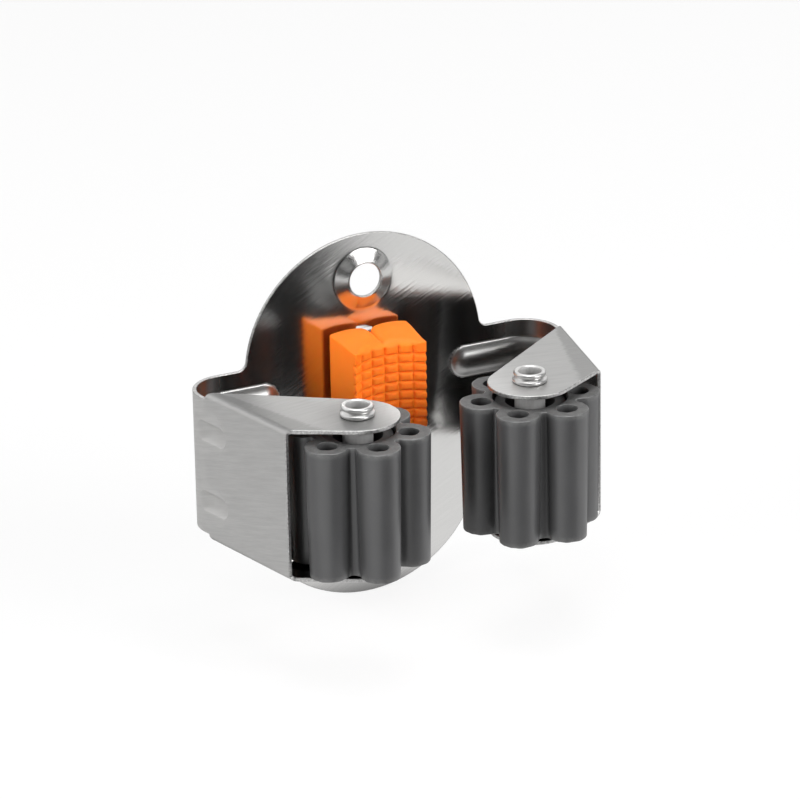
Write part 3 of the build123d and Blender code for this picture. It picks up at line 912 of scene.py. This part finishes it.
NOISE_SPAN = (0.25, 0.75)
STEEL = (0.74, 0.735, 0.725)
MIRROR = (0.66, 0.655, 0.645)
WORKED_ROUGHNESS = 0.22
GROUND_EDGE = (0.4, 0.7)
GROUND_SHADE = 0.76
# Colour share at the bend end of the ears, painted shade.
EAR_PAINTED_SHADE = 0.44
FINE_GRAIN = (0.004, 0.00014, 1)
STROKES = (0.012, 0.0009, 1)
STROKE_TEAR = 0.3
FINE_SHARE = 0.12
STEEL_BUMP = 0.000001
CLOUDS = (0.006, 0.006, 0.012)
WORN_PATCHES = (0.0014, 0.0014, 0.0009)
TONE_SPAN = (0.3, 0.7)


def finish_of(name, **constants):
    """A new material whose main shader has these constants."""
    look = bpy.data.materials.new(name)
    look.use_nodes = True
    shader = look.node_tree.nodes["Principled BSDF"]
    for socket, value in constants.items():
        shader.inputs[socket.replace("_", " ")].default_value = value
    return look


def add(look, kind, inputs, **settings):
    """One more node of a material, with its settings, constants and links."""
    node = look.node_tree.nodes.new(kind)
    for key, value in settings.items():
        setattr(node, key, value)
    for key, value in inputs.items():
        if isinstance(value, bpy.types.NodeSocket):
            look.node_tree.links.new(value, node.inputs[key])
        else:
            node.inputs[key].default_value = value
    return node


def drive(look, socket, value):
    """Links a value into the material's main shader."""
    shader = look.node_tree.nodes["Principled BSDF"]
    look.node_tree.links.new(value, shader.inputs[socket])


def noise(look, vector, size, detail=2.0, roughness=0.5):
    """Noise about as coarse as the sizes, in metres, along each direction of the vector."""
    scale = tuple(1 / s for s in size)
    placed = add(look, "ShaderNodeMapping", {"Vector": vector, "Scale": scale})
    made = add(look, "ShaderNodeTexNoise", {
        "Vector": placed.outputs["Vector"], "Scale": 1.0, "Detail": detail, "Roughness": roughness,
    })
    return made.outputs["Fac"]


def ranged(look, value, span, low, high, way="LINEAR"):
    """A level that runs from low to high while the value crosses the span."""
    made = add(look, "ShaderNodeMapRange", {
        "Value": value, "From Min": span[0], "From Max": span[1], "To Min": low, "To Max": high,
    }, interpolation_type=way)
    return made.outputs["Result"]


def toned(look, value, dark, light):
    """A colour that runs from dark to light with a noise value."""
    ramp = add(look, "ShaderNodeValToRGB", {"Fac": value})
    for stop, place, colour in zip(ramp.color_ramp.elements, TONE_SPAN, (dark, light)):
        stop.position = place
        stop.color = (*colour, 1)
    return ramp.outputs["Color"]


def calculated(look, operation, first, second):
    """Result of an operation on two values."""
    return add(look, "ShaderNodeMath", {0: first, 1: second}, operation=operation).outputs[0]


def stepped(look, value, edge, low, high):
    """A level that passes smoothly from low to high across an edge; the edge is in millimetres."""
    return ranged(look, value, [place * MM for place in edge], low, high, "SMOOTHSTEP")


def bumped(look, height, depth):
    """Links a bump of the given depth in metres into the main shader."""
    made = add(look, "ShaderNodeBump", {"Height": height, "Distance": depth, "Strength": 1.0})
    drive(look, "Normal", made.outputs["Normal"])


def attribute(look, name):
    """Number that the mesh stores at its points under a name."""
    return add(look, "ShaderNodeAttribute", {}, attribute_name=name).outputs["Fac"]


def grained_steel(name, colour, low, high, depth, shade, pressed_painted_shade):
    """Stainless sheet with strokes along the sheet's grain map, duller where worked, darker where ground,
    with painted shade in its pressed ribs and bends and on its ears.
    """
    look = finish_of(name, Metallic=1.0)
    grain = add(look, "ShaderNodeUVMap", {}, uv_map="grain").outputs["UV"]
    fine = noise(look, grain, FINE_GRAIN, 3.0, 0.6)
    strokes = noise(look, grain, STROKES, 3.0, 0.6)
    duller = calculated(look, "MULTIPLY", attribute(look, "worked"), WORKED_ROUGHNESS)
    tear = ranged(look, strokes, NOISE_SPAN, -STROKE_TEAR, STROKE_TEAR)
    torn = calculated(look, "ADD", attribute(look, "ground"), tear)
    ground = ranged(look, torn, GROUND_EDGE, 1.0, GROUND_SHADE)
    # Painted shade on the ears, darker towards the bend.
    painted_ear_shade = ranged(look, attribute(look, "ear"), (0, 1), 1.0, EAR_PAINTED_SHADE)
    mixed = calculated(look, "MULTIPLY", calculated(look, "ADD", fine, strokes), 0.5)
    colour = toned(look, mixed, [c * shade for c in colour], colour)
    # Painted shade: darker colour in the pressed ribs and bends.
    painted_press_shade = ranged(look, attribute(look, "pressed"), (0, 1), 1.0, pressed_painted_shade)
    darker = calculated(look, "MULTIPLY", ground, calculated(look, "MULTIPLY", painted_ear_shade, painted_press_shade))
    colour = add(look, "ShaderNodeVectorMath", {0: colour, "Scale": darker}, operation="SCALE")
    drive(look, "Base Color", colour.outputs[0])
    drive(look, "Roughness", calculated(look, "ADD", ranged(look, fine, NOISE_SPAN, low, high), duller))
    bumped(look, calculated(look, "ADD", strokes, calculated(look, "MULTIPLY", fine, FINE_SHARE)), depth)
    return look


def object_vector(look):
    """Coordinates that stay with the object, in metres."""
    return add(look, "ShaderNodeTexCoord", {}).outputs["Object"]


def plain_steel(name, colour, low, high, grain, shade=0.86, metal=1.0):
    """Steel of cut edges and of turned and rolled pieces, with small uneven spots."""
    look = finish_of(name, Metallic=metal)
    fine = noise(look, object_vector(look), grain, 3.0, 0.6)
    drive(look, "Base Color", toned(look, fine, [c * shade for c in colour], colour))
    drive(look, "Roughness", ranged(look, fine, NOISE_SPAN, low, high))
    bumped(look, fine, STEEL_BUMP)
    return look


def rubber(name, dark, light, low, high, grain, depth, worn=None, **constants):
    """Matt rubber with a fine uneven skin, paler in patches along worn rims."""
    look = finish_of(name, **constants)
    where = object_vector(look)
    skin = noise(look, where, (grain, grain, grain), 4.0, 0.6)
    cloud = noise(look, where, CLOUDS, 3.0)
    mixed = calculated(look, "MULTIPLY", calculated(look, "ADD", skin, cloud), 0.5)
    colour = toned(look, mixed, dark, light)
    if worn:
        patches = noise(look, where, WORN_PATCHES, 3.0, 0.7)
        patches = ranged(look, patches, NOISE_SPAN, 0, 1)
        patches = calculated(look, "MULTIPLY", patches, attribute(look, "rim"))
        paler = add(look, "ShaderNodeMix", {0: patches, 6: colour, 7: (*worn, 1)}, data_type="RGBA")
        colour = paler.outputs[2]
    drive(look, "Base Color", colour)
    drive(look, "Roughness", ranged(look, skin, NOISE_SPAN, low, high))
    bumped(look, skin, depth)
    return look


# The mirror face darkens its ribs and bends as painted shade; the satin face keeps its colour there.
mirror_steel = grained_steel("mirror_steel", MIRROR, 0.09, 0.16, 0.00002, 0.93, 0.55)
satin_steel = grained_steel("satin_steel", STEEL, 0.45, 0.56, 0.000014, 0.8, 1.0)
cut_steel = plain_steel("cut_steel", STEEL, 0.3, 0.5, (0.0006, 0.0006, 0.0006), 0.5)
head_steel = plain_steel("head_steel", (0.8, 0.795, 0.785), 0.3, 0.42, (0.002, 0.002, 0.001))
# Duller, less metallic steel for the axles' bores and middles; its darker colour paints the shade in the
# bores and under the ears.
tube_steel_painted_shade = plain_steel("tube_steel_painted_shade", (0.42, 0.415, 0.41), 0.5, 0.62, (0.0004, 0.0004, 0.003), metal=0.4)
washer_steel = plain_steel("washer_steel", (0.7, 0.7, 0.69), 0.2, 0.34, (0.0015, 0.0015, 0.0005))
roller_side = rubber(
    "roller_rubber", (0.036, 0.036, 0.037), (0.054, 0.054, 0.055), 0.34, 0.44, 0.0003, 0.000012,
    worn=(0.12, 0.12, 0.118), Specular_IOR_Level=1.0,
)
roller_end = rubber(
    "trimmed_rubber", (0.036, 0.036, 0.036), (0.06, 0.06, 0.059), 0.56, 0.68, 0.0004, 0.00004,
    worn=(0.12, 0.119, 0.117), Specular_IOR_Level=0.9,
)
pad_rubber = rubber(
    "orange_rubber", (0.86, 0.178, 0.008), (0.92, 0.2, 0.012), 0.55, 0.66, 0.0003, 0.00001,
    Subsurface_Weight=0.5, Subsurface_Radius=(0.004, 0.0015, 0.0005), Subsurface_Scale=0.4,
    Specular_IOR_Level=0.4,
)
carrier_plastic = rubber("white_plastic", (0.8, 0.8, 0.8), (0.86, 0.86, 0.86), 0.35, 0.5, 0.0004, 0.000005)
bush_plastic = rubber("dark_plastic", (0.075, 0.075, 0.075), (0.1, 0.099, 0.098), 0.5, 0.65, 0.0004, 0.00002)


# Pieces and their finishes

def wear(piece, *looks):
    """Gives a new piece its materials, in the order of its finish numbers."""
    for look in looks:
        piece.data.materials.append(look)


def finish_node(name, look):
    """Gives a piece of the frame a better material."""
    for slot in bpy.data.objects[name].material_slots:
        slot.material = look


wear(bracket_sheet(), mirror_steel, satin_steel, cut_steel)
wear(pad(), pad_rubber)
finish_node("pad_carrier", carrier_plastic)
for side in SIDES:
    wear(roller(side), roller_side, roller_end)
    wear(axle(side), head_steel, tube_steel_painted_shade)
    finish_node(f"{side}_thrust_washer", washer_steel)
    finish_node(f"{side}_bush", bush_plastic)


# Studio

FLOOR_Z = -48.2
FLOOR_SIZE = 4000.0
TABLE_FRONT = (-125.0, -100.0)
TABLE_FAR = (450.0, 700.0)
REFLECTOR_SIDE = (28.0, 56.0)
REFLECTOR_SKEW = 0.275
FRONT_LEFT_X = (-80.0, -45.0)
FRONT_LEFT_Y = (-90.0, -40.0)
DIM_SIDE = (-90.0, 0.0)
# Painted shadow that metal sees on the floor beneath the object: where it starts, and its level
PAINTED_SHADOW_Y = (-18.0, 2.0)
PAINTED_SHADOW = 0.25
HORIZON = (0.03, 0.1)
DARK = 0.012
DIM = 0.54
FAR_DIM = 0.15
BACKDROP = 0.95
AMBIENT = 0.1
FLOOR_GLOW = 0.85
FLOOR_BOUNCE = 0.3
BACKDROP_Y = (-0.3, 0.3)

# Camera: degrees and millimetres
CAMERA_AZIMUTH = -26.156
CAMERA_ELEVATION = 21.378
CAMERA_ROLL = 1.015
CAMERA_DISTANCE = 1139.7
CAMERA_TARGET = (10.155, 0.0, 1.838)
CAMERA_SENSOR = 36.0
CAMERA_LENS = 203.19


def white_stage():
    """White floor; to metal it glows with painted light: a lit table, a dark room in front of it, a
    reflector at the right, a lighter patch at the front left, and a painted shadow beneath the object.
    """
    look = finish_of("white_floor", Base_Color=(0.86, 0.86, 0.86, 1), Roughness=0.9)
    tree = look.node_tree
    path = add(look, "ShaderNodeLightPath", {}).outputs
    point = add(look, "ShaderNodeNewGeometry", {}).outputs["Position"]
    place = add(look, "ShaderNodeSeparateXYZ", {"Vector": point}).outputs
    away = add(look, "ShaderNodeVectorMath", {0: point}, operation="LENGTH").outputs["Value"]
    table = stepped(look, place["Y"], TABLE_FRONT, 0, 1)
    aside = calculated(look, "ADD", calculated(look, "MULTIPLY", place["Y"], REFLECTOR_SKEW), place["X"])
    reflector = stepped(look, aside, REFLECTOR_SIDE, DARK, 1)
    lit = calculated(look, "MAXIMUM", table, reflector)
    # Painted shadow on the floor beneath the object, seen only in reflections.
    under = stepped(look, place["Y"], PAINTED_SHADOW_Y, 1, PAINTED_SHADOW)
    lit = calculated(look, "MULTIPLY", lit, stepped(look, place["X"], DIM_SIDE, DIM, under))
    at_left = stepped(look, place["X"], FRONT_LEFT_X, 1, 0)
    front_left = calculated(look, "MULTIPLY", at_left, stepped(look, place["Y"], FRONT_LEFT_Y, 1, 0))
    lit = calculated(look, "MAXIMUM", lit, front_left)
    lit = calculated(look, "MULTIPLY", lit, stepped(look, away, TABLE_FAR, 1, FAR_DIM))
    mirrored = calculated(look, "MULTIPLY", lit, path["Is Glossy Ray"])
    level = calculated(look, "MAXIMUM", mirrored, path["Is Camera Ray"])
    share = calculated(look, "MULTIPLY", path["Is Camera Ray"], FLOOR_GLOW)
    share = calculated(look, "ADD", share, path["Is Glossy Ray"])
    held_back = calculated(look, "MULTIPLY", path["Is Diffuse Ray"], 1 - FLOOR_BOUNCE)
    share = calculated(look, "ADD", share, held_back)
    glow = add(look, "ShaderNodeEmission", {"Color": (1, 1, 1, 1), "Strength": level})
    both = add(look, "ShaderNodeMixShader", {
        0: share,
        1: tree.nodes["Principled BSDF"].outputs[0],
        2: glow.outputs[0],
    })
    tree.links.new(both.outputs[0], tree.nodes["Material Output"].inputs["Surface"])
    return look


def floor():
    """Plain white floor under the object."""
    mesh = bpy.data.meshes.new("floor")
    half = FLOOR_SIZE * MM / 2
    corners = [(-half, -half), (half, -half), (half, half), (-half, half)]
    mesh.from_pydata([(x, y, FLOOR_Z * MM) for x, y in corners], [], [(0, 1, 2, 3)])
    made = bpy.data.objects.new("floor", mesh)
    mesh.materials.append(white_stage())
    bpy.context.scene.collection.objects.link(made)


def lamp(name, azimuth, elevation, distance, width, height, level, gloss=True, matt=True):
    """A soft lamp or bright card aimed at the object, at an angle counted like the camera's."""
    light = bpy.data.lights.new(name, "AREA")
    light.shape = "RECTANGLE"
    light.size = width * MM
    light.size_y = height * MM
    light.energy = level * math.pi * light.size * light.size_y
    made = bpy.data.objects.new(name, light)
    made.location = toward(azimuth, elevation) * distance * MM
    made.rotation_euler = (-made.location).to_track_quat("-Z", "Y").to_euler()
    made.visible_camera = False
    made.visible_diffuse = matt
    made.visible_glossy = gloss
    bpy.context.scene.collection.objects.link(made)


def toward(azimuth, elevation):
    """Unit vector from the object towards an azimuth and elevation in degrees."""
    a, e = math.radians(azimuth), math.radians(elevation)
    return Vector((math.sin(a) * math.cos(e), -math.cos(a) * math.cos(e), math.sin(e)))


def world():
    """White backdrop; metal sees it behind the object, over a dim horizon, and a dark room in front."""
    made = bpy.data.worlds.new("studio")
    bpy.context.scene.world = made
    made.use_nodes = True
    tree = made.node_tree
    path = add(made, "ShaderNodeLightPath", {}).outputs
    direction = add(made, "ShaderNodeTexCoord", {}).outputs["Generated"]
    way = add(made, "ShaderNodeSeparateXYZ", {"Vector": direction}).outputs
    behind = ranged(made, way["Y"], BACKDROP_Y, DARK, BACKDROP, "SMOOTHSTEP")
    risen = ranged(made, way["Z"], HORIZON, FAR_DIM, 1.0, "SMOOTHSTEP")
    more = calculated(made, "SUBTRACT", calculated(made, "MULTIPLY", behind, risen), AMBIENT)
    level = calculated(made, "ADD", calculated(made, "MULTIPLY", more, path["Is Glossy Ray"]), AMBIENT)
    level = calculated(made, "MAXIMUM", level, path["Is Camera Ray"])
    tree.nodes["Background"].inputs["Color"].default_value = (1, 1, 1, 1)
    tree.links.new(level, tree.nodes["Background"].inputs["Strength"])


def camera():
    """Camera at the photograph's viewing angle."""
    roll = math.radians(CAMERA_ROLL)
    back = toward(CAMERA_AZIMUTH, CAMERA_ELEVATION)
    right = (-back).cross(Vector((0, 0, 1))).normalized()
    down = (-back).cross(right)
    tilted_right = right * math.cos(roll) + down * math.sin(roll)
    tilted_down = down * math.cos(roll) - right * math.sin(roll)
    lens = bpy.data.cameras.new("camera")
    lens.sensor_width = CAMERA_SENSOR
    lens.lens = CAMERA_LENS
    lens.clip_start = 0.01
    made = bpy.data.objects.new("camera", lens)
    place = (Vector(CAMERA_TARGET) + back * CAMERA_DISTANCE) * MM
    turn = Matrix((tilted_right, -tilted_down, back)).transposed().to_4x4()
    made.matrix_world = Matrix.Translation(place) @ turn
    bpy.context.scene.collection.objects.link(made)
    bpy.context.scene.camera = made


floor()
world()

# Lamps: azimuth and elevation in degrees, distance, width and height in millimetres, level
lamp("left_lamp", -75, 16, 1400, 800, 900, 9.0, gloss=False)
lamp("right_lamp", 32, 25, 1400, 800, 800, 11.0, gloss=False)
lamp("top_lamp", 0, 86, 1500, 900, 900, 5.4)
lamp("left_card", -75, 16, 1400, 800, 900, 4.5, matt=False)
lamp("right_card", 27, 21, 1400, 800, 380, 8.0, matt=False)
lamp("front_card", -18, 14, 1400, 600, 400, 0.35, matt=False)
lamp("low_card", 60, 4, 1500, 800, 260, 0.6, matt=False)

camera()
bpy.context.scene.view_settings.view_transform = "Standard"
